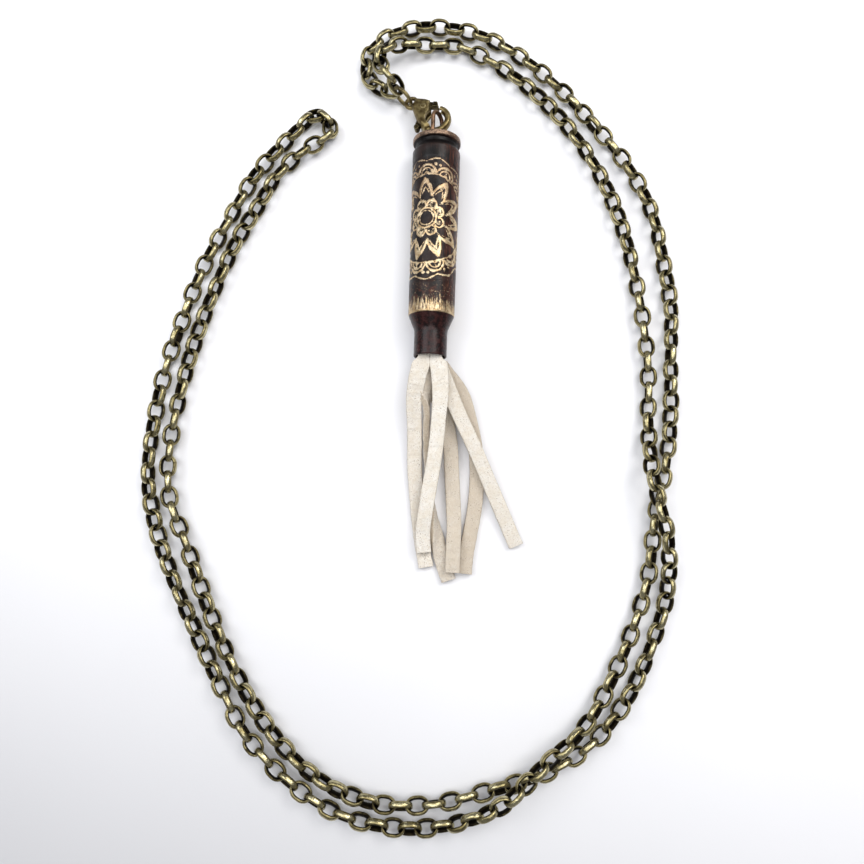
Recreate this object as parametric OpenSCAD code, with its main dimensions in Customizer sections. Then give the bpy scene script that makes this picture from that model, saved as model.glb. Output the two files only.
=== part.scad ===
// Casing pendant on a long belcher chain, laid out on a flat surface.
// Millimetres. Z is up and z = 0 is the surface it lies on. +Y runs from the case mouth to the clasp.
// The case, its hanger, the clasp and the jump ring are centred on the origin in X and Y.

/* [Case] */
// Overall length of the cartridge case
case_len = 44.7; // [40:0.1:52]
// Diameter of the extraction rim
rim_d = 9.6; // [8:0.1:12]
// Diameter of the body just in front of the groove
base_d = 9.55; // [8:0.05:12]
// Diameter of the body at the start of the shoulder
shoulder_d = 9.0; // [7:0.1:11]
// Distance from the head face to the start of the shoulder
shoulder_y = 36.5; // [30:0.1:42]
// Outside diameter of the neck
neck_d = 6.43; // [5:0.01:8]
// Bore of the neck
neck_bore = 5.7; // [4.5:0.05:7]
// Diameter of the primer pocket
pocket_d = 4.45; // [4:0.01:5.4]
// Diameter of the flash hole, drilled out for the hanger wire
flash_d = 2.0; // [1.6:0.1:2.4]

/* [Hanger] */
// Diameter of the hanger wire
wire_d = 0.9; // [0.7:0.05:1.0]
// Turn of the outer eye about the case axis, in degrees
eye_turn = 58; // [0:1:90]

/* [Tassel] */
// Width of a lace outside the case
lace_w = 2.8; // [2:0.1:3]
// Thickness of a lace outside the case
lace_t = 1.3; // [0.8:0.05:1.4]

/* [Clasp] */
// Heading of the clasp in the plan view, in degrees
clasp_turn = -33.9; // [-60:0.1:0]
// Rise of the clasp from tail to hook, in degrees
clasp_rise = 12.5; // [5:0.5:20]
// Radius of the hook's centreline
hook_r = 2.6; // [2.4:0.05:2.8]
// Diameter of the lever rivet
rivet_d = 0.8; // [0.6:0.05:1]

/* [Chain] */
// Outside length of a link
link_l = 4.55; // [4.2:0.05:5]
// Outside width of a link
link_w = 3.4; // [3.2:0.05:4]
// Thickness of the link's metal, measured in the plane of the link
link_t = 0.55; // [0.4:0.01:0.7]
// Width of the link's band, measured across the plane of the link
link_band = 1.15; // [1:0.05:1.6]
// Number of links in the whole chain
links = 263; // [201:2:299]

/* [Hidden] */
$fn = 48;
head = [2, 16, 4.8];            // centre of the case's head face
clasp_c = [1.54, 20.67, 4.41];  // centre of the hook
ring_r = 2.2;
ring_d = 0.8;
ring_az = 140;                  // heading of the jump ring away from the clasp's tail
ring_c = [-5.33, 26.68, 2.69];

// ---- chain route: centreline from the lower end link, out along the outer strand,
// ---- round the neck turn and back along the inner strand to the upper end link
curl_out = [[-8.6, 28.1, 2.35], [-11.1, 29, 2.1], [-12.9, 31.3, 1.9], [-13.4, 34.5, 1.9],
    [-12.2, 37.9, 1.9], [-8.9, 40.9, 1.9], [-4, 42.7, 1.9]];
outer_right = [[1, 43.2, 1.9], [10.5, 41.6, 1.9], [19.3, 36.7, 1.9], [27.2, 30, 1.9],
    [34.7, 21.7, 1.9], [41.5, 13, 1.9], [46.2, 3.5, 1.9], [48.3, -6.5, 1.9], [49.8, -16.5, 1.9],
    [49.6, -27, 1.9], [49.5, -37.5, 1.9], [48.5, -48, 1.9], [46.2, -58.5, 1.9],
    [45, -69, 1.9], [42, -79, 1.9], [37.8, -88.7, 2], [32.5, -97, 3.4],
    [24.5, -103.5, 5.7], [17, -110.5, 5.7], [7, -115.3, 2.2]];
outer_left = [[-3, -115.8, 1.9], [-13.2, -113.5, 1.9], [-22.8, -107.6, 1.9], [-30.5, -99.8, 1.9],
    [-35.7, -91, 1.9], [-40.6, -82, 1.9], [-45.6, -72.5, 1.9], [-49.6, -63, 1.9], [-52, -53, 1.9],
    [-51.6, -42.5, 1.9], [-50.2, -32, 1.9], [-47.6, -22, 1.9], [-44.5, -11.6, 1.9],
    [-40.5, -2.2, 1.9], [-35.7, 7.8, 1.9], [-32.2, 12.9, 1.9]];
neck_turn = [[-26.1, 20.2, 1.9], [-24.4, 22.1, 1.9], [-22.8, 22.8, 1.9], [-20.9, 21.4, 1.9],
    [-19.8, 19.7, 1.9], [-21.1, 17.5, 1.9], [-26.1, 14.1, 1.9]];
inner_left = [[-31.1, 8.4, 1.9], [-33.1, 4.1, 1.9], [-38, -5.4, 1.9], [-41.6, -15.4, 1.9],
    [-44.6, -25.4, 1.9], [-46.7, -35.5, 1.9], [-48.1, -46, 1.9], [-47.7, -56.5, 1.9],
    [-43.6, -66, 1.9], [-39.5, -75.5, 1.9], [-35, -85, 1.9], [-29.7, -94, 1.9],
    [-23, -102.3, 1.9], [-15, -108.5, 1.9], [-5, -111.9, 1.9]];
inner_right = [[5.5, -111.6, 1.9], [15.5, -109, 1.9], [25.5, -105.7, 1.9], [34.5, -100, 1.9],
    [41, -91.5, 1.9], [45.4, -82, 1.9], [48.4, -72, 2.1], [47.5, -61.5, 5.7],
    [45, -51.5, 5.7], [45, -41, 2.2], [45.2, -30.5, 1.9], [44.3, -20, 1.9], [42.5, -9.5, 1.9],
    [40, 0.5, 1.9], [36, 10.5, 1.9], [30.5, 19.5, 1.9], [24, 27, 1.9], [15.8, 33.8, 1.9],
    [6.8, 38.6, 1.9]];
curl_in = [[1, 38.9, 1.9], [-3.5, 38.4, 2.7], [-7.2, 37.3, 4.2], [-9.8, 35.4, 5],
    [-10.4, 32.8, 5.2], [-9.2, 30.4, 5.9]];

// extra length counted for each radian of turn
bunch = 0.7;

// ---- vectors and curves
function unit(v) = v / norm(v);
function mix(a, b, t) = a + (b - a) * t;
function bend(a, b, c, d, t) = 0.5 * (2 * b + (c - a) * t + (2 * a - 5 * b + 4 * c - d) * t * t
    + (3 * b - a - 3 * c + d) * t * t * t);
function curve(p, n) = [for (i = [0:len(p) - 2]) for (k = [0:n - 1])
    bend(p[max(i - 1, 0)], p[i], p[i + 1], p[min(i + 2, len(p) - 1)], k / n), p[len(p) - 1]];
function turn_at(p, i) = i < 1 || i > len(p) - 2 ? 0
    : norm(unit(p[i + 1] - p[i]) - unit(p[i] - p[i - 1]));
// length along the curve, counted longer where it turns, so that links sit closer in a bend
function lengths(p) = [for (i = 0, s = 0; i < len(p);
    i = i + 1, s = i < len(p) ? s + norm(p[i] - p[i - 1]) + bunch * turn_at(p, i) : s) s];
function table(s, p, k) = [for (i = [0:len(p) - 1]) [s[i], p[i][k]]];

// a frame at o whose x axis runs along d and whose y axis is level, turned by roll about d
module along(o, d, roll) {
    x = unit(d);
    y = unit(cross([0, 0, 1], x));
    z = cross(x, y);
    u = y * cos(roll) + z * sin(roll);
    w = cross(x, u);
    multmatrix([[x[0], u[0], w[0], o[0]], [x[1], u[1], w[1], o[1]], [x[2], u[2], w[2], o[2]]])
        children();
}

// a tube of the given section swept along points: frames are [point, side, up]
module swept(frames, section, closed = false) {
    n = len(section);
    m = len(frames);
    last = closed ? m - 1 : m - 2;
    pts = [for (f = frames) for (s = section) f[0] + f[1] * s[0] + f[2] * s[1]];
    sides = [for (i = [0:last]) for (k = [0:n - 1])
        let (a = i * n + k, b = i * n + (k + 1) % n,
            c = ((i + 1) % m) * n + (k + 1) % n, d = ((i + 1) % m) * n + k)
        each [[a, d, c], [a, c, b]]];
    ends = closed ? [] : [[for (k = [0:n - 1]) k], [for (k = [n - 1:-1:0]) (m - 1) * n + k]];
    polyhedron(points = pts, faces = concat(sides, ends), convexity = 8);
}

// ---- case: one turned profile, drawn along +Z and laid down along -Y
module laid() translate(head) rotate([90, 0, 0]) children();

case_profile = [
    [flash_d / 2, 3.0], [pocket_d / 2, 3.0], [pocket_d / 2, 0.15], [pocket_d / 2 + 0.15, 0],
    [rim_d / 2 - 0.25, 0], [rim_d / 2, 0.2], [rim_d / 2, 0.95], [rim_d / 2 - 0.2, 1.14],
    [4.215, 1.2], [4.215, 1.95], [base_d / 2, 3.1], [shoulder_d / 2, shoulder_y],
    [neck_d / 2, shoulder_y + (shoulder_d - neck_d) / 2 / tan(23)],
    [neck_d / 2, case_len - 0.12], [neck_d / 2 - 0.1, case_len],
    [neck_bore / 2 + 0.12, case_len], [neck_bore / 2, case_len - 0.15],
    [neck_bore / 2, shoulder_y + 2.9], [shoulder_d / 2 - 0.42, shoulder_y + 0.15],
    [base_d / 2 - 0.75, 8], [base_d / 2 - 1.4, 5.4], [base_d / 2 - 2.4, 4.8],
    [flash_d / 2, 4.7]];

module case_shell() color([0.2, 0.13, 0.1]) laid() rotate_extrude() polygon(case_profile);

// spent primer, drilled through for the wire
module primer_cup() color([0.5, 0.36, 0.26]) laid() rotate_extrude()
    polygon([[flash_d / 2, 0.3], [pocket_d / 2 - 0.3, 0.3], [pocket_d / 2 - 0.01, 0.6],
        [pocket_d / 2 - 0.01, 2.95], [pocket_d / 2 - 0.45, 2.95], [pocket_d / 2 - 0.45, 0.95],
        [flash_d / 2, 0.95]]);

// ---- hanger: one wire bent into an eye outside the head and a loop inside the case.
// Each half is [distance of the leg from the axis, position along the axis, turn about it].
half_wire = [[0, 6.05, eye_turn], [0.6, 5.94, eye_turn], [1.15, 5.6, eye_turn],
    [1.55, 5.05, eye_turn], [1.7, 4.35, eye_turn], [1.7, 3, eye_turn], [1.7, 1.9, eye_turn],
    [1.5, 1.3, eye_turn], [0.95, 0.75, eye_turn], [0.56, 0.2, eye_turn],
    [0.46, -0.7, eye_turn], [0.46, -1.9, eye_turn * 0.75], [0.46, -3.2, eye_turn * 0.5],
    [0.46, -4.5, eye_turn * 0.25], [0.46, -6, 0], [0.46, -11, 0], [0.46, -16.4, 0],
    [0.6, -17.3, 0], [1.1, -18.1, 0], [1.6, -18.8, 0], [1.75, -19.5, 0], [1.75, -23, 0],
    [1.6, -23.7, 0], [1.2, -24, 0], [0, -24, 0]];
half_n = len(half_wire);
full_wire = concat([for (h = half_wire) [h[0], h[1], h[2]]],
    [for (i = [half_n - 2:-1:1]) [-half_wire[i][0], half_wire[i][1], half_wire[i][2]]]);
wire_path = [for (h = full_wire) head + [h[0] * cos(h[2]), h[1], -h[0] * sin(h[2])]];
function wire_frame(i) = let (n = len(wire_path), a = full_wire[i][2],
        t = unit(wire_path[(i + 1) % n] - wire_path[(i + n - 1) % n]),
        c = unit(cross(t, [sin(a), 0, cos(a)])))
    [wire_path[i], c, cross(t, c)];

module hanger_wire() color([0.3, 0.2, 0.14])
    swept([for (i = [0:len(wire_path) - 1]) wire_frame(i)],
        [for (k = [0:11]) wire_d / 2 * [cos(30 * k), sin(30 * k)]], true);

// ---- laces: three lengths folded over the bar of the inner loop, one inside the other.
// Layer 0 lies on the bar. The upper legs go to the left of the neck and the lower ones to the
// right. Rows are [x, y, z, roll].
gap = 1.07;
function leg(k, s) = [[head.x - s * 1.16, -29, head.z + s * (k - 1) * gap, 0],
    [head.x - s * 1.16, -23, head.z + s * (k - 1) * gap, 0],
    [head.x - s * 1.16, -17, head.z + s * (1.62 + (k - 1) * gap), 0],
    [head.x, -11.2, head.z + s * (1.62 + (k - 1) * gap), 0]];
function fold(k) = [for (a = [90:-45:-90])
    [head.x, -8 + (1.01 + k * gap) * cos(a), head.z + (1.01 + k * gap) * sin(a), 0]];
function back(p) = [for (i = [len(p) - 1:-1:0]) p[i]];
function lace_path(k, left, right) = concat(left, leg(k, 1), fold(k), back(leg(k, -1)), right);

tail_1l = [[7.5, -69.8, 2.15, 0], [7.6, -64, 2.25, 0], [7.6, -59.9, 1.6, 0], [6.9, -50.3, 1.4, 0],
    [6.4, -44.5, 1.3, 0], [5, -38.5, 1.3, 0], [2.9, -34, 1.9, 0], [1.4, -31.4, 2.9, 0]];
tail_1r = [[3.6, -31.5, 5.85, 0], [4.1, -36.9, 5.4, 0], [3.7, -46, 4.7, 0], [2.6, -54.5, 3.9, 0],
    [2, -59, 3.5, 0], [1.7, -62.5, 2.6, 0], [2, -66.1, 2.05, 0]];
tail_2l = [[6.9, -71.4, 0.7, 0], [5.3, -67, 0.7, 0], [4.1, -62, 1.53, -55],
    [3, -56, 1.43, -90], [2.1, -48.6, 1.6, -90], [1.75, -43.5, 2.2, -90],
    [1.6, -38.5, 3.4, -90], [1.2, -34, 4.3, -25]];
tail_2r = [[3.9, -31.5, 4.75, 0], [5.6, -35.1, 4.2, 0], [8.6, -40.9, 3.6, 0],
    [11.3, -46.3, 3.1, 0], [15.7, -55.8, 1.9, 0], [19.7, -64.4, 0.7, 0]];
tail_3l = [[2.5, -69, 0.68, 0], [1.1, -62, 0.68, 0], [-0.2, -51.5, 1.2, 0], [-0.5, -44, 2.6, 0],
    [-0.7, -37.5, 4.4, 0], [0, -33, 5.6, 0]];
tail_3r = [[4.6, -31.5, 3.55, 0], [8.7, -36.6, 2.2, 0], [11.5, -46.3, 1.2, 0], [11.7, -56, 0.7, 0],
    [10.3, -65.5, 0.7, 0], [9.9, -70, 0.7, 0]];

// the lace is squeezed inside the case and springs back to its full size past the mouth
function lace_frame(p, i) = let (n = len(p), c = p[i],
        a = p[max(i - 1, 0)], b = p[min(i + 1, n - 1)],
        t = unit([b.x - a.x, b.y - a.y, b.z - a.z]),
        s = unit([1, 0, 0] - t.x * t), u = cross(t, s), out = c.y < -34,
        w = (out ? lace_w : 2.28) / 2, h = (out ? lace_t : 1.03) / 2)
    [[c.x, c.y, c.z], (s * cos(c[3]) + u * sin(c[3])) * w, (u * cos(c[3]) - s * sin(c[3])) * h];
flat = [[1, -0.6], [1, 0.6], [0.85, 1], [-0.85, 1], [-1, 0.6], [-1, -0.6], [-0.85, -1],
    [0.85, -1]];
module lace(p) color([0.93, 0.9, 0.84]) swept([for (i = [0:len(p) - 1]) lace_frame(p, i)], flat);

module lace_1() lace(lace_path(0, tail_1l, tail_1r));
module lace_2() lace(lace_path(1, tail_2l, tail_2r));
module lace_3() lace(lace_path(2, tail_3l, tail_3r));

// ---- clasp, drawn flat about the centre of its hook with its tail towards -X
pivot = [-3.4, 0.8];
module clasped() translate(clasp_c) rotate([0, -clasp_rise, clasp_turn]) children();
shell = [[-6.1, 0], [-4.85, -0.8], [-2.85, -2.3], [-1.15, -3.1], [-0.1, -3.2], [0.6, -2.35],
    [-3.36, 2.93], [-4.4, 2.75], [-6.2, 1.9]];
shell_mid = [-3.3, 0.1];
module prism(p, h) linear_extrude(height = h, center = true) polygon(p);

module clasp_body() color([0.43, 0.34, 0.2]) clasped() {
    difference() {
        union() {
            hull() {
                prism(shell, 1.5);
                prism([for (p = shell) p + unit(shell_mid - p) * 0.35], 2.4);
                prism([for (p = shell) p + unit(shell_mid - p) * 0.95], 2.9);
            }
            // hook, from its root in the lower arm round to the tip
            rotate([0, 0, -120]) rotate_extrude(angle = 223) translate([hook_r, 0]) {
                square([1.3, 0.4], center = true);
                translate([0, 0.2]) circle(r = 0.65);
                translate([0, -0.2]) circle(r = 0.65);
            }
            // eye of the tail
            translate([-6.8, 0.9, 0]) rotate_extrude() translate([1.15, 0]) circle(r = 0.4);
        }
        // slot for the lever
        prism([[-4.7, 4], [-4.7, -4], [-1.35, -4], [-1.72, -2.3], [-1.4, -1.6], [0.2, -1.6],
            [0.2, 4]], 1.16);
        translate([pivot.x, pivot.y, -2]) cylinder(h = 4, d = rivet_d + 0.02);
        // the space inside the hook, and the ring that hangs in the tail
        cylinder(h = 4, r = hook_r - 0.65, center = true);
        translate([-6.8, 0.9, -2]) cylinder(h = 4, r = 0.74);
    }
}

module clasp_lever() color([0.4, 0.36, 0.2]) clasped() difference() {
    union() {
        prism([[-3.73, 2.6], [-1.87, 3.44], [-0.97, 2.64], [-2.5, 1.85], [-2.75, 1.2],
            [-2.6, -0.4], [-1.75, -3.2], [-2.75, -3.5], [-3.75, -0.2], [-4.3, 0.5], [-4.3, 1.3],
            [-4, 2]], 1);
        prism([[-2.63, 3.1], [-1.87, 3.44], [-0.97, 2.64], [-2.18, 2.09]], 1.5);
        translate([-2.25, -3.45, 0]) cylinder(h = 1.5, r = 0.5, center = true);
    }
    translate([pivot.x, pivot.y, -2]) cylinder(h = 4, d = rivet_d + 0.1);
}

module lever_pin() color([0.5, 0.4, 0.24]) clasped() translate([pivot.x, pivot.y, 0]) {
    cylinder(h = 2.9, d = rivet_d, center = true);
    translate([0, 0, 1.45]) cylinder(h = 0.16, r1 = 0.62, r2 = 0.5);
    translate([0, 0, -1.61]) cylinder(h = 0.16, r1 = 0.5, r2 = 0.62);
}

module lever_spring() color([0.6, 0.58, 0.52]) clasped()
    prism([[-4.68, 1.6], [-4.5, 1.6], [-4.5, -0.45], [-3.5, -1.2], [-3.6, -1.36],
        [-4.68, -0.56]], 0.9);

// ---- jump ring, upright, with its cut at the bottom
ring_dir = [cos(ring_az), sin(ring_az), 0];
function on_ring(a) = ring_c + ring_r * (cos(a) * ring_dir + sin(a) * [0, 0, 1]);
module jump_ring() color([0.43, 0.36, 0.22]) translate(ring_c) rotate([90, 0, ring_az])
    difference() {
        rotate_extrude() translate([ring_r, 0]) circle(d = ring_d);
        translate([0, -ring_r, 0]) cube([0.06, 1.2, 1.2], center = true);
    }

// ---- chain: every link runs from one joint of the route to the next and is turned a quarter
// ---- of a turn from the one before, with a slow twist along the chain and some unevenness
low_at = on_ring(-10);
low_joint = low_at - 0.455 * unit(curl_out[0] - low_at);
high_dir = cos(52) * ring_dir + sin(52) * [0, 0, 1];
high_joint = on_ring(52) - 0.455 * high_dir;
path = curve(concat([low_joint], curl_out, outer_right, outer_left, neck_turn, inner_left,
    inner_right, curl_in, [high_joint + 1.6 * high_dir, high_joint]), 8);
path_s = lengths(path);
path_x = table(path_s, path, 0);
path_y = table(path_s, path, 1);
path_z = table(path_s, path, 2);
total = path_s[len(path_s) - 1];
pitch = total / links;
echo(total = total, pitch = pitch);
function joint(i) = let (s = i * pitch) [lookup(s, path_x), lookup(s, path_y), lookup(s, path_z)];
function twist(s) = min(1, s / 25, (total - s) / 25)
    * (45 + 24 * sin(360 * s / 97) + 12 * sin(360 * s / 41));

mid_r = (link_w - link_t) / 2;
half = (link_l - link_w) / 2;
module band() {
    square([link_t, link_band - link_t], center = true);
    for (s = [-1, 1]) translate([0, s * (link_band - link_t) / 2]) circle(d = link_t, $fn = 24);
}
module link() {
    for (s = [0, 180]) rotate([0, 0, s]) {
        translate([half, 0, 0]) rotate([0, 0, -90]) rotate_extrude(angle = 180)
            translate([mid_r, 0]) band();
        translate([-half, -mid_r, 0]) rotate([90, 0, 90]) linear_extrude(height = 2 * half) band();
    }
}
module run(k) color([0.42, 0.38, 0.22])
    for (i = [floor(links * (k - 1) / 10):floor(links * k / 10) - 1])
        let (a = joint(i), b = joint(i + 1))
            along((a + b) / 2, b - a, 90 * i + 5 * sin(137 * i) + twist((i + 0.5) * pitch)) link();
module chain_01() run(1);
module chain_02() run(2);
module chain_03() run(3);
module chain_04() run(4);
module chain_05() run(5);
module chain_06() run(6);
module chain_07() run(7);
module chain_08() run(8);
module chain_09() run(9);
module chain_10() run(10);

case_shell();
primer_cup();
hanger_wire();
lace_1();
lace_2();
lace_3();
clasp_body();
clasp_lever();
lever_pin();
lever_spring();
jump_ring();
chain_01();
chain_02();
chain_03();
chain_04();
chain_05();
chain_06();
chain_07();
chain_08();
chain_09();
chain_10();
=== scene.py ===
"""Casing pendant on a long belcher chain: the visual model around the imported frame.

Metres, Z up; z = 0 is the surface it lies on. Numbers in millimetres are scaled by MM.
"""

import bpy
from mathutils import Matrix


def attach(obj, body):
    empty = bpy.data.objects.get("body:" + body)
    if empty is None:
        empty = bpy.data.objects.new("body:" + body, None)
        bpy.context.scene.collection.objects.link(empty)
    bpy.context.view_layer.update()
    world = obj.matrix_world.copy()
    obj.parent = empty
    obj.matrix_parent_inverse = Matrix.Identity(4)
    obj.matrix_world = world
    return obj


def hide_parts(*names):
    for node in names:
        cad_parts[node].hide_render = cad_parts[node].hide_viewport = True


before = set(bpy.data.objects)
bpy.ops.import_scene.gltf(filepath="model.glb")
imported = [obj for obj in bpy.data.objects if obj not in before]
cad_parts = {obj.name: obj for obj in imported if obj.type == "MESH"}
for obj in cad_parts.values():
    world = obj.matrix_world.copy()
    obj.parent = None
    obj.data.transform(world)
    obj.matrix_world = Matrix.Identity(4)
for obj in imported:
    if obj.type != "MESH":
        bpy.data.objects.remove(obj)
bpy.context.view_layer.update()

import math

import bpy
import numpy as np
from mathutils import Matrix, Vector, noise

MM = 0.001
scene = bpy.context.scene

# places shared with part.scad
HEAD = np.array([2, 16, 4.8])  # centre of the case's head face
CASE_LENGTH = 44.7
SHOULDER = 36.5  # distance from the head face to the start of the shoulder
MOUTH = HEAD[1] - CASE_LENGTH


# ---- camera: nearly straight down, leaning towards the chain's far end


def make_camera(place, lean, turn, lens):
    """A camera at place that looks down, leans towards +Y and is turned about Z, in degrees."""
    lean = math.radians(lean)
    about = Matrix.Rotation(math.radians(turn), 3, "Z")
    right = about @ Vector((1, 0, 0))
    up = about @ Vector((0, math.cos(lean), math.sin(lean)))
    back = about @ Vector((0, -math.sin(lean), math.cos(lean)))
    data = bpy.data.cameras.new("camera")
    data.lens = lens
    data.sensor_width = 36
    data.clip_start = 0.01
    data.clip_end = 20
    camera = bpy.data.objects.new("camera", data)
    turned = Matrix((right, up, back)).transposed().to_4x4()
    camera.matrix_world = Matrix.Translation(Vector(place) * MM) @ turned
    scene.collection.objects.link(camera)
    scene.camera = camera


make_camera(place=(3.41, -61.38, 142), lean=7.5, turn=1.79, lens=30.125)


# ---- vectors, curves and meshes


def unit(v):
    """The vector, or each row's vector, at length 1."""
    return v / np.linalg.norm(v, axis=-1, keepdims=True)


def smooth(low, high, x):
    """0 below low, 1 above high, and a smooth step between them."""
    t = np.clip((x - low) / (high - low), 0, 1)
    return t * t * (3 - 2 * t)


def curve(points, n):
    """A smooth curve through points, with n steps to each span."""
    p = np.asarray(points, float)
    q = np.vstack([p[:1], p, p[-1:]])
    t = (np.arange(n) / n)[:, None]
    spans = [
        0.5 * (2 * b + (c - a) * t + (2 * a - 5 * b + 4 * c - d) * t**2
               + (3 * b - a - 3 * c + d) * t**3)
        for a, b, c, d in zip(q, q[1:], q[2:], q[3:])
    ]
    return np.vstack(spans + [p[-1:]])


def tube_faces(rings, sides, closed):
    """Quads between rings of the same number of points, in order."""
    ring = np.arange(rings if closed else rings - 1)[:, None] * sides
    k = np.arange(sides)[None, :]
    after = (ring + sides) % (rings * sides)
    turn = (k + 1) % sides
    quads = np.stack([ring + k, ring + turn, after + turn, after + k], axis=-1)
    return quads.reshape(-1, 4)


def new_piece(name, points, faces, body, slot, material, **values):
    """A smooth mesh piece from points in millimetres; values become attributes of its points."""
    mesh = bpy.data.meshes.new(name)
    mesh.from_pydata((np.asarray(points) * MM).tolist(), [], [list(f) for f in faces])
    for key, value in values.items():
        data = mesh.attributes.new(key, "FLOAT", "POINT").data
        data.foreach_set("value", np.asarray(value, np.float32).ravel())
    mesh.shade_smooth()
    mesh.materials.append(material)
    piece = bpy.data.objects.new(name, mesh)
    scene.collection.objects.link(piece)
    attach(piece, body)
    return piece


# ---- materials

PLAIN_BAND = 28  # distance from the head face to the band between the drawing and the shoulder


class Shader:
    """A Principled material, and short ways to add the nodes that feed it."""

    def __init__(self, name, **fixed):
        self.material = bpy.data.materials.new(name)
        self.material.use_nodes = True
        self.tree = self.material.node_tree
        self.bsdf = self.tree.nodes["Principled BSDF"]
        for key, value in fixed.items():
            self.socket(key).default_value = value
        where = self.tree.nodes.new("ShaderNodeTexCoord")
        self.place = self.stretch(1000, 1000, 1000, where.outputs["Object"])

    def socket(self, key):
        """The shader's input for a name such as specular_ior_level."""
        return self.bsdf.inputs[key.replace("_", " ").title().replace("Ior", "IOR")]

    def feed(self, socket, x):
        """Sets a socket to a number or colour, or links another node's output to it."""
        if isinstance(x, bpy.types.NodeSocket):
            self.tree.links.new(x, socket)
        elif isinstance(x, tuple):
            socket.default_value = (*x, 1)
        else:
            socket.default_value = x

    def stretch(self, x, y, z, vector=None):
        """Coordinates scaled along each axis; the base ones are in millimetres."""
        node = self.tree.nodes.new("ShaderNodeVectorMath")
        node.operation = "MULTIPLY"
        self.tree.links.new(vector or self.place, node.inputs[0])
        node.inputs[1].default_value = (x, y, z)
        return node.outputs[0]

    def noise(self, scale, detail=3, vector=None, rough=0.5, warp=0):
        """Noise about 0.5, with its largest features about 1 / scale millimetres across."""
        node = self.tree.nodes.new("ShaderNodeTexNoise")
        node.inputs["Scale"].default_value = scale
        node.inputs["Detail"].default_value = detail
        node.inputs["Roughness"].default_value = rough
        node.inputs["Distortion"].default_value = warp
        self.tree.links.new(vector or self.place, node.inputs["Vector"])
        return node.outputs[0]

    def value(self, name):
        """A value that the mesh holds for each point."""
        node = self.tree.nodes.new("ShaderNodeAttribute")
        node.attribute_name = name
        return node.outputs["Fac"]

    def math(self, how, first, *rest):
        """The result of a math node; more than two values are taken two at a time."""
        for x in rest:
            node = self.tree.nodes.new("ShaderNodeMath")
            node.operation = how
            self.feed(node.inputs[0], first)
            self.feed(node.inputs[1], x)
            first = node.outputs[0]
        return first

    def sway(self, x, wave, gain, middle=0.5):
        """x moved up and down by a wave about its middle."""
        swing = self.math("MULTIPLY", self.math("SUBTRACT", wave, middle), gain)
        return self.math("ADD", x, swing)

    def step(self, x, low, high, to_low=0, to_high=1):
        """x taken smoothly from low..high to to_low..to_high, clamped."""
        node = self.tree.nodes.new("ShaderNodeMapRange")
        node.interpolation_type = "SMOOTHSTEP"
        self.tree.links.new(x, node.inputs[0])
        for i, v in enumerate((low, high, to_low, to_high)):
            node.inputs[i + 1].default_value = v
        return node.outputs[0]

    def mix(self, share, a, b):
        """Colour a to colour b by share; each is a colour or a socket."""
        node = self.tree.nodes.new("ShaderNodeMix")
        node.data_type = "RGBA"
        self.tree.links.new(share, node.inputs["Factor"])
        self.feed(node.inputs[6], a)
        self.feed(node.inputs[7], b)
        return node.outputs[2]

    def edge(self, low, high):
        """0 to 1 as the surface goes from pointiness low to high; flat is 0.5, an edge more."""
        node = self.tree.nodes.new("ShaderNodeNewGeometry")
        return self.step(node.outputs["Pointiness"], low, high)

    def bump(self, *layers):
        """Bumps one over another, each (height, depth in millimetres)."""
        last = None
        for height, depth in layers:
            node = self.tree.nodes.new("ShaderNodeBump")
            node.inputs["Distance"].default_value = depth * MM
            self.tree.links.new(height, node.inputs["Height"])
            if last:
                self.tree.links.new(last, node.inputs["Normal"])
            last = node.outputs[0]
        self.tree.links.new(last, self.bsdf.inputs["Normal"])

    def set(self, **sockets):
        """Links outputs to the shader's inputs."""
        for key, x in sockets.items():
            self.tree.links.new(x, self.socket(key))
        return self.material


def chain_metal():
    """Antique brass: olive gold where it is worn, with a pale painted highlight along each link's
    crown; near black in the hollows, partly patina and partly painted shade inside the links and
    where they cross.
    """
    s = Shader("chain_bronze", metallic=1)
    cloud = s.noise(0.9, 4)
    fine = s.noise(5, 4)
    rubbed = s.sway(s.sway(s.value("rubbed"), cloud, 0.8), fine, 0.4)
    low = s.mix(s.step(fine, 0.35, 0.65), (0.008, 0.006, 0.003), (0.024, 0.019, 0.009))
    high = s.mix(s.value("tone"), (0.18, 0.147, 0.064), (0.29, 0.247, 0.122))
    # lighter where worn, and palest on the crown as a painted highlight; darker on the inside as
    # painted shade
    colour = s.mix(s.step(rubbed, 0.27, 0.75), low, high)
    colour = s.mix(s.step(rubbed, 0.7, 1.05), colour, (0.55, 0.5, 0.31))
    # grime and painted shade: near black inside the links and at their ends, where the neighbouring
    # links hide the light
    grime = s.step(s.sway(s.value("grime"), fine, 0.3, 0), 0.25, 0.62)
    colour = s.mix(grime, colour, (0.008, 0.006, 0.004))
    s.bump((s.noise(3, 3), 0.05), (s.noise(14, 2), 0.012))
    rough = s.step(s.math("SUBTRACT", rubbed, s.math("MULTIPLY", grime, 0.5)), 0, 1, 0.46, 0.22)
    return s.set(base_color=colour, roughness=rough)


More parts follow.
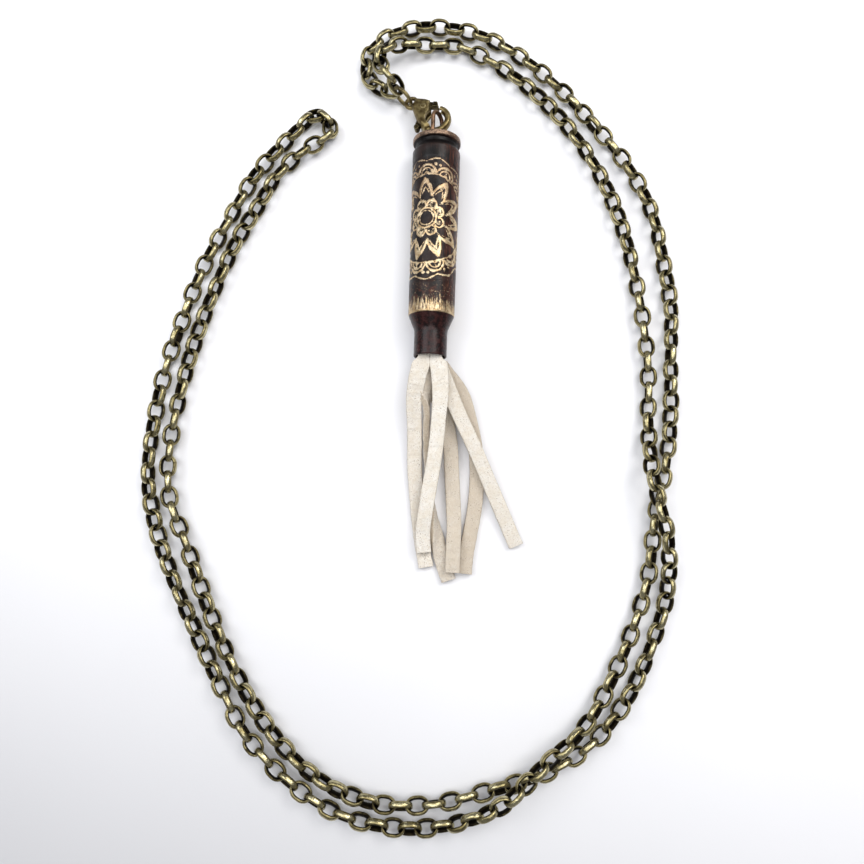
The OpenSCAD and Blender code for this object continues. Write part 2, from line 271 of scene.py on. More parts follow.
def suede():
    """Off-white split leather: a short speckled nap, browner on its flesh side and cut edges."""
    s = Shader("suede", roughness=0.92, specular_ior_level=0.15, sheen_weight=0.25,
               sheen_roughness=0.55)
    cloud = s.noise(0.5, 4, rough=0.65)
    nap = s.noise(2.6, 5, rough=0.75)
    speck = s.noise(4.2, 2, rough=0.5)
    fibre = s.noise(3, 4, s.stretch(2.2, 0.6, 2.2), rough=0.65, warp=0.6)
    flesh = s.value("flesh")
    colour = s.mix(s.step(cloud, 0.35, 0.65), (0.905, 0.835, 0.72), (0.96, 0.915, 0.835))
    colour = s.mix(flesh, colour, (0.6, 0.5, 0.38))
    colour = s.mix(s.step(nap, 0.48, 0.64, 0, 0.42), colour, (0.68, 0.57, 0.43))
    colour = s.mix(s.step(fibre, 0.54, 0.7, 0, 0.35), colour, (0.97, 0.935, 0.87))
    dots = s.math("MULTIPLY", s.step(speck, 0.6, 0.68), s.step(cloud, 0.42, 0.6, 0.15, 0.75))
    colour = s.mix(dots, colour, (0.34, 0.235, 0.135))
    edge = s.math("MULTIPLY", s.value("cut"), s.step(nap, 0.35, 0.65, 0.45, 0.85))
    colour = s.mix(edge, colour, (0.47, 0.375, 0.26))
    s.bump((fibre, 0.22), (nap, 0.2))
    return s.set(base_color=colour)


def etched():
    """The case: dark patina, pale brass on the raised drawing and where hands and chain rub."""
    s = Shader("etched_brass", specular_ior_level=0.2, coat_roughness=0.1, coat_weight=0.04)
    along = s.value("along")
    side = s.value("side")
    fine = s.noise(6, 4, rough=0.6)
    blotch = s.noise(1.1, 4, rough=0.6)
    broad = s.noise(0.35, 3)
    streak = s.noise(1.9, 4, s.stretch(2.4, 0.22, 2.4), rough=0.6)
    # pale metal on the raised lines, broken up by wear
    line = s.sway(s.value("line"), fine, 0.3)
    line = s.step(s.sway(line, blotch, 0.8, 0.48), -0.03, 0.06)
    # rubbed patches inside the petals
    rub = s.sway(s.value("rub"), fine, 1.6)
    rub = s.step(s.sway(rub, blotch, 2.2), 0.66, 0.86)
    # bright worn ring with streaks above the shoulder, and the shoulder's corner
    ring = s.step(along, SHOULDER - 4.7, SHOULDER - 0.3, -0.62, 0.6)
    ring = s.step(s.sway(s.sway(ring, streak, 3.4), fine, 1.1), 0.2, 0.62)
    ring = s.math("MULTIPLY", ring, s.step(along, SHOULDER + 0.05, SHOULDER + 0.25, 1, 0))
    corner = s.math("MULTIPLY", s.step(along, SHOULDER - 0.3, SHOULDER - 0.1),
                    s.step(along, SHOULDER + 0.12, SHOULDER + 0.28, 1, 0),
                    s.step(fine, 0.3, 0.5))
    # worn rim
    rim = s.sway(s.step(along, 1.02, 1.2, 0.32, -1), fine, 1.4)
    rim = s.step(s.sway(rim, blotch, 1.2), 0.1, 0.5)
    # speckles on the plain band
    dots = s.math("MULTIPLY", s.step(s.noise(3.4, 3, rough=0.7), 0.63, 0.68),
                  s.step(along, PLAIN_BAND, 34),
                  s.step(along, SHOULDER - 0.1, SHOULDER + 0.1, 1, 0))
    pale = s.math("MAXIMUM", line, rub, ring, corner, rim, dots)
    # the dark ground: near black, red brown towards one side, chocolate on the neck
    ground = s.mix(s.step(broad, 0.35, 0.7), (0.004, 0.003, 0.003), (0.02, 0.01, 0.008))
    red = s.math("MULTIPLY", s.step(side, 0.1, 0.9), s.step(streak, 0.42, 0.62))
    low_red = s.math("MULTIPLY", s.step(along, PLAIN_BAND, 35), s.step(blotch, 0.45, 0.7))
    red = s.math("MAXIMUM", red, low_red)
    ground = s.mix(s.math("MULTIPLY", red, 0.85), ground, (0.095, 0.026, 0.013))
    scuff = s.math("MULTIPLY", s.step(streak, 0.6, 0.74), s.step(fine, 0.4, 0.6, 0.1, 0.5))
    ground = s.mix(scuff, ground, (0.22, 0.125, 0.08))
    groove = s.math("MULTIPLY", s.step(along, 1.1, 1.3), s.step(along, 2.6, 3.2, 1, 0))
    ground = s.mix(groove, ground, (0.002, 0.001, 0.001))
    neck = s.mix(s.step(blotch, 0.4, 0.62), (0.009, 0.004, 0.004), (0.032, 0.009, 0.008))
    ground = s.mix(s.step(along, SHOULDER, SHOULDER + 0.5), ground, neck)
    gold = s.mix(s.step(blotch, 0.35, 0.7), (0.5, 0.35, 0.18), (0.9, 0.77, 0.52))
    gold = s.mix(s.step(fine, 0.42, 0.6, 0.55, 0), gold, (0.33, 0.19, 0.09))
    gold = s.mix(s.step(along, 1.3, 1.6, 0.8, 0), gold, (0.4, 0.26, 0.185))
    gold = s.mix(s.step(along, 11, 17, 0.5, 0), gold, (0.24, 0.15, 0.1))
    colour = s.mix(pale, ground, gold)
    rough = s.sway(s.step(blotch, 0.3, 0.7, 0.3, 0.48), fine, 0.16)
    rough = s.math("SUBTRACT", rough, s.step(along, SHOULDER, SHOULDER + 0.5, 0, 0.16))
    s.bump((blotch, 0.03), (fine, 0.03), (s.noise(1.6, 2, s.stretch(6, 0.25, 6)), 0.012))
    return s.set(base_color=colour, metallic=s.math("MULTIPLY", pale, 0.92), roughness=rough)


def worn_metal(name, dark, middle, bright, grain=0.04):
    """Cast or drawn metal with patina in its hollows and wear on its edges."""
    s = Shader(name, metallic=1)
    cloud = s.noise(0.8, 4, rough=0.6)
    fine = s.noise(6, 4, rough=0.6)
    wear = s.sway(s.edge(0.5, 0.56), fine, 0.7)
    colour = s.mix(s.step(cloud, 0.32, 0.62), dark, middle)
    colour = s.mix(s.step(wear, 0.25, 0.95), colour, bright)
    colour = s.mix(s.edge(0.48, 0.4), colour, tuple(0.25 * c for c in dark))
    s.bump((s.noise(2.2, 4), grain), (fine, grain * 0.5))
    return s.set(base_color=colour, roughness=s.step(cloud, 0.3, 0.7, 0.34, 0.5))


# ---- chain: the route of part.scad, in the same order

ring_c = np.array([-5.33, 26.68, 2.69])
ring_r = 2.2
ring_az = math.radians(140)  # heading of the jump ring away from the clasp's tail
ring_dir = np.array([math.cos(ring_az), math.sin(ring_az), 0])
LOW_LINK = -10  # where the two end links hang on the ring's wire, in degrees above the level
HIGH_LINK = 52
END_REACH = 0.455  # from the middle of the ring's wire to the end link's joint
curl_out = [[-8.6, 28.1, 2.35], [-11.1, 29, 2.1], [-12.9, 31.3, 1.9], [-13.4, 34.5, 1.9],
            [-12.2, 37.9, 1.9], [-8.9, 40.9, 1.9], [-4, 42.7, 1.9]]
outer_right = [[1, 43.2, 1.9], [10.5, 41.6, 1.9], [19.3, 36.7, 1.9], [27.2, 30, 1.9],
               [34.7, 21.7, 1.9], [41.5, 13, 1.9], [46.2, 3.5, 1.9], [48.3, -6.5, 1.9],
               [49.8, -16.5, 1.9], [49.6, -27, 1.9], [49.5, -37.5, 1.9], [48.5, -48, 1.9],
               [46.2, -58.5, 1.9], [45, -69, 1.9], [42, -79, 1.9], [37.8, -88.7, 2],
               [32.5, -97, 3.4], [24.5, -103.5, 5.7], [17, -110.5, 5.7], [7, -115.3, 2.2]]
outer_left = [[-3, -115.8, 1.9], [-13.2, -113.5, 1.9], [-22.8, -107.6, 1.9], [-30.5, -99.8, 1.9],
              [-35.7, -91, 1.9], [-40.6, -82, 1.9], [-45.6, -72.5, 1.9], [-49.6, -63, 1.9],
              [-52, -53, 1.9], [-51.6, -42.5, 1.9], [-50.2, -32, 1.9], [-47.6, -22, 1.9],
              [-44.5, -11.6, 1.9], [-40.5, -2.2, 1.9], [-35.7, 7.8, 1.9], [-32.2, 12.9, 1.9]]
neck_turn = [[-26.1, 20.2, 1.9], [-24.4, 22.1, 1.9], [-22.8, 22.8, 1.9], [-20.9, 21.4, 1.9],
             [-19.8, 19.7, 1.9], [-21.1, 17.5, 1.9], [-26.1, 14.1, 1.9]]
inner_left = [[-31.1, 8.4, 1.9], [-33.1, 4.1, 1.9], [-38, -5.4, 1.9], [-41.6, -15.4, 1.9],
              [-44.6, -25.4, 1.9], [-46.7, -35.5, 1.9], [-48.1, -46, 1.9], [-47.7, -56.5, 1.9],
              [-43.6, -66, 1.9], [-39.5, -75.5, 1.9], [-35, -85, 1.9], [-29.7, -94, 1.9],
              [-23, -102.3, 1.9], [-15, -108.5, 1.9], [-5, -111.9, 1.9]]
inner_right = [[5.5, -111.6, 1.9], [15.5, -109, 1.9], [25.5, -105.7, 1.9], [34.5, -100, 1.9],
               [41, -91.5, 1.9], [45.4, -82, 1.9], [48.4, -72, 2.1], [47.5, -61.5, 5.7],
               [45, -51.5, 5.7], [45, -41, 2.2], [45.2, -30.5, 1.9], [44.3, -20, 1.9],
               [42.5, -9.5, 1.9], [40, 0.5, 1.9], [36, 10.5, 1.9], [30.5, 19.5, 1.9],
               [24, 27, 1.9], [15.8, 33.8, 1.9], [6.8, 38.6, 1.9]]
curl_in = [[1, 38.9, 1.9], [-3.5, 38.4, 2.7], [-7.2, 37.3, 4.2], [-9.8, 35.4, 5],
           [-10.4, 32.8, 5.2], [-9.2, 30.4, 5.9]]

LINKS = 263
GROUPS = 10  # CAD nodes that hold the links
LINK_L = 4.55  # outside length
LINK_W = 3.4  # outside width
LINK_T = 0.7  # thickness of the metal in the plane of the link
LINK_BAND = 1.2  # width of the band across that plane
LINK_TURNS = 12  # steps round each end of a link
LINK_SIDES = 14  # points round its metal
BUNCH = 0.7  # extra length counted for each radian of turn, as in part.scad
UNEVEN = 12  # how far a link may roll from its quarter turn, in degrees


def on_ring(degrees):
    """A point on the jump ring's wire, by its angle above the level."""
    a = math.radians(degrees)
    return ring_c + ring_r * (math.cos(a) * ring_dir + math.sin(a) * np.array([0, 0, 1]))


def chain_route():
    """The chain's centreline from the lower end link to the upper one."""
    low_at = on_ring(LOW_LINK)
    low_joint = low_at - END_REACH * unit(np.array(curl_out[0]) - low_at)
    up = math.radians(HIGH_LINK)
    high_dir = math.cos(up) * ring_dir + math.sin(up) * np.array([0, 0, 1])
    high_joint = on_ring(HIGH_LINK) - END_REACH * high_dir
    points = [low_joint, *curl_out, *outer_right, *outer_left, *neck_turn, *inner_left,
              *inner_right, *curl_in, high_joint + 1.6 * high_dir, high_joint]
    return curve(points, 8)


def link_frames(path):
    """Each link's centre and its three axes: along the chain, across it and through the link.

    A link is a quarter of a turn from the one before, with a slow twist along the chain that dies
    out at both ends, and some unevenness.
    """
    step = np.diff(path, axis=0)
    along = unit(step)
    turn = np.append(np.linalg.norm(np.diff(along, axis=0), axis=1), 0)
    s = np.append(0, np.cumsum(np.linalg.norm(step, axis=1) + BUNCH * turn))
    total = s[-1]
    at = np.linspace(0, total, LINKS + 1)
    joint = np.stack([np.interp(at, s, path[:, k]) for k in range(3)], axis=1)
    mid = (at[1:] + at[:-1]) / 2
    twist = 45 + 24 * np.sin(2 * np.pi * mid / 97) + 12 * np.sin(2 * np.pi * mid / 41)
    twist *= np.minimum(1, np.minimum(mid, total - mid) / 25)
    i = np.arange(LINKS)
    roll = np.radians(90 * i + UNEVEN * np.sin(np.radians(137 * i)) + twist)[:, None]
    x = unit(np.diff(joint, axis=0))
    y = unit(np.cross([0, 0, 1], x))
    z = np.cross(x, y)
    u = y * np.cos(roll) + z * np.sin(roll)
    return (joint[1:] + joint[:-1]) / 2, np.stack([x, u, np.cross(x, u)], axis=1)


def link_shape():
    """One oval link in its own axes, with each point's wear and painted light (lighter on the outer
    crown, darker on the inside as painted shade) and its grime and painted shade.
    """
    mid = (LINK_W - LINK_T) / 2
    half = (LINK_L - LINK_W) / 2
    a = np.radians(np.linspace(-90, 90, LINK_TURNS + 1))
    a = np.append(a, a + math.pi)
    side = np.where(np.arange(len(a)) <= LINK_TURNS, 1, -1)
    bow = half * (side + np.cos(a)) / 2
    centre = np.stack([mid * np.cos(a) + bow, mid * np.sin(a)], axis=1)
    out = np.stack([np.cos(a), np.sin(a)], axis=1)
    b = 2 * math.pi * np.arange(LINK_SIDES) / LINK_SIDES
    across = LINK_BAND / 2 * np.sign(np.cos(b)) * np.abs(np.cos(b)) ** 0.9
    crown = np.where(np.sin(b) > 0, 1.0, 0.7)
    radial = LINK_T / 2 * np.sign(np.sin(b)) * np.abs(np.sin(b)) ** crown
    points = np.zeros((len(a), LINK_SIDES, 3))
    points[..., :2] = centre[:, None] + out[:, None] * radial[None, :, None]
    points[..., 2] = across
    outer = np.clip(np.sin(b), 0, 1)[None] * np.ones((len(a), 1))
    inner = np.clip(-np.sin(b), 0, 1)[None]
    end = np.abs(np.cos(a))[:, None]
    # wear and painted light: lighter on the outer crown as wear and a painted highlight, darker on
    # the inside as painted shade
    rubbed = 0.5 + 0.4 * outer ** 1.5 - 0.45 * inner
    # grime and painted shade: darkest on the inside near the ends, where the neighbouring links
    # pass and hide the light
    grime = inner * smooth(0.05, 0.6, end) + 0.35 * inner + 0.4 * smooth(0.8, 1, end) * (1 - outer)
    return points.reshape(-1, 3), rubbed.ravel(), grime.ravel()


def make_chain(material):
    """All the links as one piece."""
    path = chain_route()
    centres, axes = link_frames(path)
    shape, rubbed, grime = link_shape()
    points = centres[:, None] + np.einsum("pk,lkj->lpj", shape, axes)
    faces = tube_faces(2 * (LINK_TURNS + 1), LINK_SIDES, True)
    count = len(shape)
    faces = (faces[None] + (np.arange(LINKS) * count)[:, None, None]).reshape(-1, 4)
    tone = np.random.default_rng(3).random(LINKS)
    chain = new_piece(
        "chain", points.reshape(-1, 3), faces, "chain", "chain_bronze", material,
        rubbed=np.tile(rubbed, LINKS), grime=np.tile(grime, LINKS), tone=np.repeat(tone, count),
    )
    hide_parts(*[f"chain_{k:02d}" for k in range(1, GROUPS + 1)])


make_chain(chain_metal())


# ---- laces: each half of a folded lace is a cord from the fold to its free tip

GAP = 1.07  # between the layers of folded lace inside the case
LEG = 1.16  # each leg's distance from the case's axis
BAR = -8  # where the wire's inner bar is, along Y
BAR_REACH = 1.01  # from the bar's axis to the middle of the innermost lace
SQUEEZED = (2.28, 1.03)  # a lace's width and thickness inside the case
FREE = (2.83, 1.3)  # and outside it
SPREAD = 0.6  # how much further the outer edge springs out at the mouth
NAP = 0.09  # depth of the uneven surface
LACE_SIDES = 40
CREASE_AT = -46.3  # the one sharp crease, along Y, on the first lace's right half

# rows of x, y, z and roll, from each lace's tips into the mouth
tails = {
    "lace_1": (
        [[7.5, -69.8, 2.15, 0], [7.6, -64, 2.25, 0], [7.6, -59.9, 1.6, 0], [6.9, -50.3, 1.4, 0],
         [6.4, -44.5, 1.3, 0], [5, -38.5, 1.3, 0], [2.9, -34, 1.9, 0], [1.4, -31.4, 2.9, 0]],
        [[3.6, -31.5, 5.85, 0], [4.1, -36.9, 5.4, 0], [3.7, -46, 4.7, 0], [2.6, -54.5, 3.9, 0],
         [2, -59, 3.5, 0], [1.7, -62.5, 2.6, 0], [2, -66.1, 2.05, 0]],
    ),
    "lace_2": (
        [[6.9, -71.4, 0.7, 0], [5.3, -67, 0.7, 0], [4.1, -62, 1.53, -55], [3, -56, 1.43, -90],
         [2.1, -48.6, 1.6, -90], [1.75, -43.5, 2.2, -90], [1.6, -38.5, 3.4, -90],
         [1.2, -34, 4.3, -25]],
        [[3.9, -31.5, 4.75, 0], [5.6, -35.1, 4.2, 0], [8.6, -40.9, 3.6, 0], [11.3, -46.3, 3.1, 0],
         [15.7, -55.8, 1.9, 0], [19.7, -64.4, 0.7, 0]],
    ),
    "lace_3": (
        [[2.5, -69, 0.68, 0], [1.1, -62, 0.68, 0], [-0.2, -51.5, 1.2, 0], [-0.5, -44, 2.6, 0],
         [-0.7, -37.5, 4.4, 0], [0, -33, 5.6, 0]],
        [[4.6, -31.5, 3.55, 0], [8.7, -36.6, 2.2, 0], [11.5, -46.3, 1.2, 0], [11.7, -56, 0.7, 0],
         [10.3, -65.5, 0.7, 0], [9.9, -70, 0.7, 0]],
    ),
}


def lace_rows(layer, left, right):
    """The lace from its left tip over the wire to its right tip: x, y, z and roll."""
    x, _, z = HEAD
    legs = []
    for s in (1, -1):
        near = s * (layer - 1) * GAP
        wide = s * (1.62 + (layer - 1) * GAP)
        legs.append([[x - s * LEG, -29, z + near, 0], [x - s * LEG, -23, z + near, 0],
                     [x - s * LEG, -17, z + wide, 0], [x, -11.2, z + wide, 0]])
    r = BAR_REACH + layer * GAP
    bent = [[x, BAR + r * math.cos(a), z + r * math.sin(a), 0]
            for a in np.radians(np.arange(90, -91, -45))]
    return left + legs[0] + bent + legs[1][::-1] + right


def lace_mesh(rows, seed, crease, outward):
    """A flat strip swept along rows from the fold to the tip, with a soft uneven nap.

    outward is 1 or -1 for the edge that springs out at the mouth, and crease is where along Y the
    lace is creased, or None.
    """
    fine = curve(rows, 26)
    line = fine[:, :3]
    t = unit(np.gradient(line, axis=0))
    s = unit(np.array([1.0, 0, 0]) - t[:, :1] * t)
    u = np.cross(t, s)
    roll = np.radians(fine[:, 3:])
    side = s * np.cos(roll) + u * np.sin(roll)
    up = u * np.cos(roll) - s * np.sin(roll)
    free = smooth(MOUTH, MOUTH - 1.9, line[:, 1])
    w = (SQUEEZED[0] + (FREE[0] - SQUEEZED[0]) * free) / 2
    spread = SPREAD * free * smooth(-42, -31, line[:, 1])
    h = (SQUEEZED[1] + (FREE[1] - SQUEEZED[1]) * smooth(-29, -35, line[:, 1])) / 2
    b = 2 * math.pi * (np.arange(LACE_SIDES) + 0.5) / LACE_SIDES
    flat = np.sign(np.cos(b)) * np.abs(np.cos(b)) ** 0.3
    tall = np.sign(np.sin(b)) * np.abs(np.sin(b)) ** 0.36
    wide = w[:, None] + spread[:, None] * (outward * flat > 0)
    off = side[:, None] * (wide * flat)[..., None] + up[:, None] * (h[:, None] * tall)[..., None]
    points = line[:, None] + off
    out = 0.5 * side[:, None] * (flat / w[:, None])[..., None]
    out = unit(out + up[:, None] * (tall / h[:, None])[..., None])
    shift = np.array([
        NAP * noise.fractal(Vector(p) * 1.1 + Vector((seed, 0, 0)), 0.8, 2, 5)
        for p in points.reshape(-1, 3)
    ]).reshape(points.shape[:2])
    points = points + out * (shift * free[:, None])[..., None]
    if crease is not None:
        past = points[..., 1] - crease + 0.12 * (points[..., 0] - HEAD[0])
        points = points - 0.16 * np.exp(-((past / 0.22) ** 2))[..., None] * up[:, None]
    cut = smooth(0.93, 1.0, np.abs(flat))[None] * np.ones((len(line), 1))
    return line, points, cut


def make_laces(material):
    """Six pieces, two halves for each folded lace, each closed at both ends."""
    # how much of the brown flesh side shows, left and right
    flesh = {"lace_1": (0.62, 0), "lace_2": (0.5, 0.12), "lace_3": (0.12, 0.75)}
    for layer, (name, (left, right)) in enumerate(tails.items()):
        rows = np.array(lace_rows(layer, left, right))
        fold = len(left) + 6  # the middle row of the bend over the bar
        for half, part in enumerate((rows[fold::-1], rows[fold:])):
            crease = CREASE_AT if (layer, half) == (0, 1) else None
            line, points, cut = lace_mesh(part, 10 * layer + 3 * half, crease, 2 * half - 1)
            rings, sides = points.shape[:2]
            flat = points.reshape(-1, 3)
            middle = points[-1].mean(0)
            tip = [middle + (p - middle) * k + 0.03 * k * k * unit(line[-1] - line[-2])
                   for k in (0.97, 0.75, 0.45) for p in points[-1]]
            faces = tube_faces(rings + 3, sides, False)
            n = rings * sides
            caps = [list(range(sides))[::-1], list(range(n + 2 * sides, n + 3 * sides))]
            faces = [list(f) for f in faces] + caps
            ends = np.ones(3 * sides)
            piece = new_piece(
                f"{name}_{'lr'[half]}", np.vstack([flat, tip]), faces, "pendant", "suede",
                material, cut=np.append(cut.ravel(), ends),
                flesh=np.full(n + 3 * sides, flesh[name][half]),
            )
            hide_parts(name)


make_laces(suede())


# ---- floor and light


def make_floor():
    """Matt white sheet, a little darker towards the near left corner as painted shade, where the
    light falls off.
    """
    s = Shader("table", roughness=0.6, specular_ior_level=0.3)
    cloud = s.noise(0.02, 3)
    colour = s.mix(s.step(cloud, 0.3, 0.7), (0.855, 0.855, 0.875), (0.875, 0.875, 0.895))
    # painted shade: the floor's colour darkens towards the near left corner, where the light falls
    # off
    apart = s.tree.nodes.new("ShaderNodeSeparateXYZ")
    s.tree.links.new(s.place, apart.inputs[0])
    near = s.math("ADD", apart.outputs[1], s.math("MULTIPLY", apart.outputs[0], 0.3))
    near = s.math("MULTIPLY", near, -1)
    colour = s.mix(s.step(near, 45, 190), colour, (0.45, 0.45, 0.463))
    s.bump((s.noise(2.5, 3), 0.01))
    material = s.set(base_color=colour)
    mesh = bpy.data.meshes.new("floor")
    r = 4  # half its side, in metres
    mesh.from_pydata([(-r, -r, 0), (r, -r, 0), (r, r, 0), (-r, r, 0)], [], [(0, 1, 2, 3)])
    mesh.materials.append(material)
    floor = bpy.data.objects.new("floor", mesh)
    floor.location.z = -0.02 * MM
    scene.collection.objects.link(floor)


def make_light(name, place, size, power, colour=(1, 1, 1)):
    """A soft square lamp at place, in metres, that looks at the object's middle."""
    data = bpy.data.lights.new(name, "AREA")
    data.size = size
    data.energy = power
    data.color = colour
    lamp = bpy.data.objects.new(name, data)
    target = Vector((0, -0.035, 0))
    place = Vector(place)
    aim = (place - target).to_track_quat("Z", "Y").to_matrix().to_4x4()
    lamp.matrix_world = Matrix.Translation(place) @ aim
    scene.collection.objects.link(lamp)


def make_world(colour, strength):
    """Even light from all round."""
    world = bpy.data.worlds.new("room")
    world.use_nodes = True
    back = world.node_tree.nodes["Background"]
    back.inputs[0].default_value = (*colour, 1)
    back.inputs[1].default_value = strength
    scene.world = world


make_floor()
make_light("key", (0.34, 0.3, 0.6), 0.4, 3.15, (1, 0.985, 0.96))
make_light("fill", (-0.42, 0.12, 0.55), 0.45, 2.4, (0.95, 0.97, 1))
make_light("top", (0.02, -0.06, 0.75), 0.5, 2.25)
make_world((0.93, 0.94, 1), 0.3)
scene.view_settings.view_transform = "Standard"


# ---- case: one turned outline with the etched drawing in its surface

ART_AT = 18.2  # distance of the drawing's centre from the head face
ART_TURN = math.radians(-20)  # its turn about the case's axis, from straight up
ART_RADIUS = 4.7  # the radius at which the drawing is rolled flat
ART_DEPTH = 0.07  # how far the ground between the lines is eaten away
OFF = -0.8  # distance that stands for being outside every line
CASE_COLUMNS = 300


def case_outline():
    """Closed outline as rows of (radius, distance from the head face), rounded at corners."""
    # corner radius, corner distance, rounding, spacing of the rows that follow
    corners = [
        (2.375, 0, 0.04, 0.8), (4.55, 0, 0.05, 9), (4.8, 0.2, 0.07, 0.3), (4.8, 0.95, 0.06, 9),
        (4.6, 1.14, 0.05, 9), (4.215, 1.2, 0.06, 0.3), (4.215, 1.95, 0.12, 0.3),
        (4.775, 3.1, 0.12, 0.4), (4.765, 4.3, 0, 0.115), (4.532, 32.6, 0, 0.25),
        (4.5, SHOULDER, 0.12, 0.3), (3.215, 39.53, 0.5, 0.5), (3.215, 44.58, 0.05, 9),
        (3.115, CASE_LENGTH, 0.03, 9), (2.97, CASE_LENGTH, 0.05, 9), (2.85, 44.55, 0.05, 2),
        (2.85, 39.4, 0.1, 1.5), (4.08, 36.65, 0.1, 4), (4.025, 8, 0.3, 2), (3.375, 5.4, 0.2, 1),
        (2.375, 4.8, 0.1, 1), (1, 4.7, 0.05, 1), (1, 3, 0.05, 1), (2.225, 3, 0, 1.5),
        (2.225, 0.15, 0.03, 9),
    ]
    rows = []
    for i, (r, a, rounding, gap) in enumerate(corners):
        here = np.array([r, a], float)
        before = np.array(corners[i - 1][:2], float)
        after = np.array(corners[(i + 1) % len(corners)][:2], float)
        bend = [here]
        if rounding:
            p = here + rounding * unit(before - here)
            q = here + rounding * unit(after - here)
            bend = [(1 - t) ** 2 * p + 2 * t * (1 - t) * here + t * t * q
                    for t in (0, 0.35, 0.65, 1)]
        rows += bend
        rounding_after = corners[(i + 1) % len(corners)][2]
        last = after + rounding_after * unit(here - after)
        count = int(np.linalg.norm(last - bend[-1]) / gap)
        rows += [bend[-1] + (last - bend[-1]) * k / (count + 1) for k in range(1, count + 1)]
    return np.array(rows)


def drawing(s, t):
    """How far each point is inside a raised line, in mm, and how rubbed the ground is.

    s runs round the case and t along it, from the drawing's centre. It is a plain rosette: a ringed
    disc, small round petals, a ring of pointed petals, a thin circle and a scalloped border.
    """
    r = np.hypot(s, t)
    angle = np.arctan2(t, s)
    best = np.full(r.shape, OFF)

    def stroke(distance, width, where=True):
        nonlocal best
        best = np.maximum(best, np.where(where, width / 2 - np.abs(distance), OFF))

    def wave(n, shift=0.0):
        """Position within one of n equal sectors, from -1 to 1."""
        return 2 * (((angle + shift) * n / (2 * math.pi)) % 1) - 1

    # the ringed disc
    stroke(r - 1.45, 0.22)
    stroke(r - 2.0, 0.42)
    # small round petals about the disc
    sector = wave(8) * math.pi / 8
    petal = np.hypot(r * np.cos(sector) - 2.75, r * np.sin(sector))
    stroke(petal - 0.95, 0.42, r > 2.3)
    # ring of pointed petals, an outer zigzag and a shorter inner one
    point = np.abs(wave(11, 0.2))
    slope = 3.0 / (math.pi / 11 * 6.3)
    outer = 7.75 - 3.1 * point ** 1.25
    stroke((r - outer) / math.sqrt(1 + slope**2 * 0.55), 0.8, r > 4.3)
    inner = 6.3 - 2.6 * point ** 1.1
    stroke((r - inner) / math.sqrt(1 + slope**2 * 0.5), 0.3, (r > 4.2) & (point < 0.6))
    # thin circle
    stroke(r - 8.95, 0.3)
    # scalloped border with arcs, a cross and dots
    n = 15
    sector = wave(n, 0.12) * math.pi / n
    x = r * np.sin(sector)
    y = r * np.cos(sector) - 9.05
    arc = np.hypot(x, y)
    stroke(arc - 1.82, 0.42, y > 0)
    stroke(arc - 1.15, 0.32, y > 0)
    stroke(arc - 0.28, 0.3, y > 0)
    stroke(x, 0.16, (y > 0.5) & (arc < 1.1))
    edge = 11.55 + 0.75 * np.abs(wave(n, 0.12)) ** 0.8
    stroke(r - edge, 0.24)
    tip = np.hypot(np.abs(x) - 1.75, y - 1.75)
    stroke(tip, 0.5)
    rub = 0.55 * np.exp(-((petal - 0.3) ** 2) / 0.5) * (r > 2.3)
    rub += 0.5 * ((r > outer - 1.3) & (r < outer)) + 0.12 * (r < 11.5)
    return best, rub


def make_case(material):
    """The turned case, with the ground of the drawing sunk between its raised lines."""
    outline = case_outline()
    theta = 2 * math.pi * np.arange(CASE_COLUMNS) / CASE_COLUMNS
    every = np.ones((len(outline), CASE_COLUMNS))
    radius, along = outline[:, 0], outline[:, 1]
    wall = (radius > 4.3) & (along > 4) & (along < 34)  # the rows that may hold the drawing
    s = (theta[None] - ART_TURN + math.pi) % (2 * math.pi) - math.pi
    s = s * ART_RADIUS * every
    t = (along - ART_AT)[:, None] * every
    line, rub = drawing(s, t)
    line = np.where(wall[:, None], line, OFF)
    rub = np.where(wall[:, None], rub, 0)
    zone = smooth(12.9, 12.5, np.hypot(s, t)) * wall[:, None]
    depth = ART_DEPTH * zone * (1 - smooth(-0.06, 0.06, line))
    dent = np.array([
        [0.012 * noise.noise(Vector((3 * math.cos(a), 3 * math.sin(a), 0.35 * b))) for a in theta]
        for b in along
    ]) * ((radius > 3.1) & (along > 3))[:, None]
    r = radius[:, None] - depth + dent
    points = np.stack([HEAD[0] + r * np.sin(theta)[None],
                       HEAD[1] - along[:, None] * every,
                       HEAD[2] + r * np.cos(theta)[None]], axis=-1)
    piece = new_piece(
        "case", points.reshape(-1, 3), tube_faces(len(outline), CASE_COLUMNS, True), "pendant",
        "etched_brass", material, line=line, rub=rub, along=along[:, None] * every,
        side=np.sin(theta)[None] * every,
    )
    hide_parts("case_shell")


make_case(etched())


# ---- hanger wire: the two halves of part.scad's bent wire, swept smooth

WIRE_R = 0.43  # a little under part.scad's, because the smooth curve bulges past its corners
WIRE_SIDES = 18
WIRE_STEPS = 5  # rings to each span of the curve
EYE_TURN = 58  # turn of the outer eye about the case's axis, in degrees


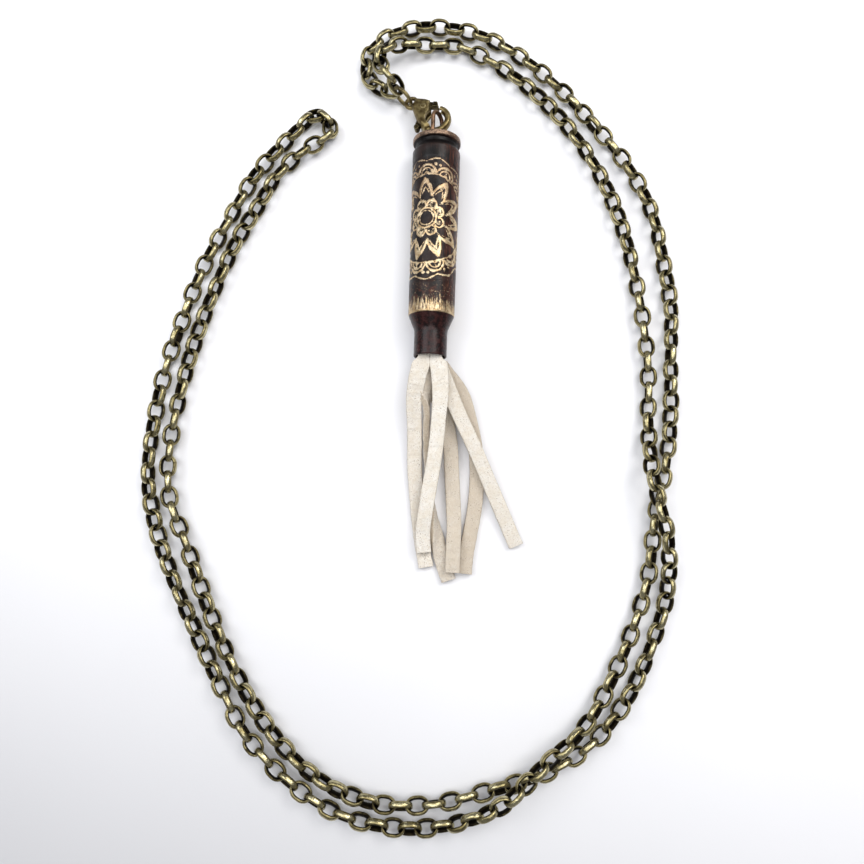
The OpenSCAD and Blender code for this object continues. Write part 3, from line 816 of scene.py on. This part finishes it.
def make_hanger(material):
    """The bent wire: an eye outside the head, a shank through it and a loop inside the case."""
    # distance of the leg from the axis, position along the axis, turn about it
    turn = EYE_TURN
    half = [[0, 6.05, turn], [0.6, 5.94, turn], [1.15, 5.6, turn], [1.55, 5.05, turn],
            [1.7, 4.35, turn], [1.7, 3, turn], [1.7, 1.9, turn], [1.5, 1.3, turn],
            [0.95, 0.75, turn], [0.56, 0.2, turn], [0.46, -0.7, turn], [0.46, -1.9, turn * 0.75],
            [0.46, -3.2, turn * 0.5], [0.46, -4.5, turn * 0.25], [0.46, -6, 0], [0.46, -11, 0],
            [0.46, -16.4, 0], [0.6, -17.3, 0], [1.1, -18.1, 0], [1.6, -18.8, 0], [1.75, -19.5, 0],
            [1.75, -23, 0], [1.6, -23.7, 0], [1.2, -24, 0], [0, -24, 0]]
    rows = np.array(half + [[-x, y, a] for x, y, a in half[-2:0:-1]], float)
    loop = curve(np.vstack([rows[-2:], rows, rows[:3]]), WIRE_STEPS)
    loop = loop[2 * WIRE_STEPS :][: WIRE_STEPS * len(rows)]
    a = np.radians(loop[:, 2])
    line = HEAD + np.stack([loop[:, 0] * np.cos(a), loop[:, 1], -loop[:, 0] * np.sin(a)], axis=1)
    t = unit(np.roll(line, -1, axis=0) - np.roll(line, 1, axis=0))
    c = unit(np.cross(t, np.stack([np.sin(a), 0 * a, np.cos(a)], axis=1)))
    d = np.cross(t, c)
    b = 2 * math.pi * np.arange(WIRE_SIDES) / WIRE_SIDES
    ring = c[:, None] * np.cos(b)[None, :, None] + d[:, None] * np.sin(b)[None, :, None]
    wobble = np.array([1 + 0.02 * noise.noise(Vector(p) * 1.3) for p in line])
    points = line[:, None] + WIRE_R * ring * wobble[:, None, None]
    piece = new_piece("hanger", points.reshape(-1, 3),
                      tube_faces(len(line), WIRE_SIDES, True), "pendant", "dark_wire", material)
    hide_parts("hanger_wire")


make_hanger(worn_metal("dark_wire",
                       (0.025, 0.013, 0.009), (0.12, 0.062, 0.037), (0.46, 0.29, 0.18)))


# ---- CAD nodes that keep their shape: rounded like castings, with their own finish


def dress(node, material, voxel=0.0, rounds=0):
    """Gives a CAD node its material, and may round its edges as a casting's are.

    voxel is the size in millimetres at which it is rebuilt, and rounds how often it is smoothed.
    """
    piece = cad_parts[node]
    for place in piece.material_slots:
        place.material = material
    if voxel:
        cast = piece.modifiers.new("cast", "REMESH")
        cast.mode = "VOXEL"
        cast.voxel_size = voxel * MM
        cast.use_smooth_shade = True
        ease = piece.modifiers.new("ease", "SMOOTH")
        ease.factor = 0.5
        ease.iterations = rounds


clasp_metal = worn_metal("clasp_bronze",
                         (0.1, 0.068, 0.028), (0.23, 0.18, 0.08), (0.5, 0.42, 0.22), grain=0.012)
# the lever is the clasp's bronze made darker as painted shade, for the shadow it lies in inside the
# clasp's slot
shaded_lever_metal = worn_metal("lever_bronze_shaded",
                         (0.02, 0.015, 0.008), (0.07, 0.052, 0.024), (0.3, 0.25, 0.12), grain=0.012)
ring_metal = worn_metal("ring_bronze",
                        (0.08, 0.06, 0.028), (0.26, 0.21, 0.1), (0.46, 0.39, 0.2))
dress("clasp_body", clasp_metal, 0.05, 12)
dress("clasp_lever", shaded_lever_metal, 0.045, 6)
dress("lever_pin", clasp_metal, 0.04, 2)
dress("jump_ring", ring_metal, 0.045, 2)
spring_metal = worn_metal("spring_steel",
                          (0.2, 0.19, 0.18), (0.42, 0.4, 0.38), (0.6, 0.58, 0.55))
primer_metal = worn_metal("worn_brass",
                          (0.12, 0.07, 0.04), (0.4, 0.27, 0.19), (0.6, 0.45, 0.33))
dress("lever_spring", spring_metal)
dress("primer_cup", primer_metal)
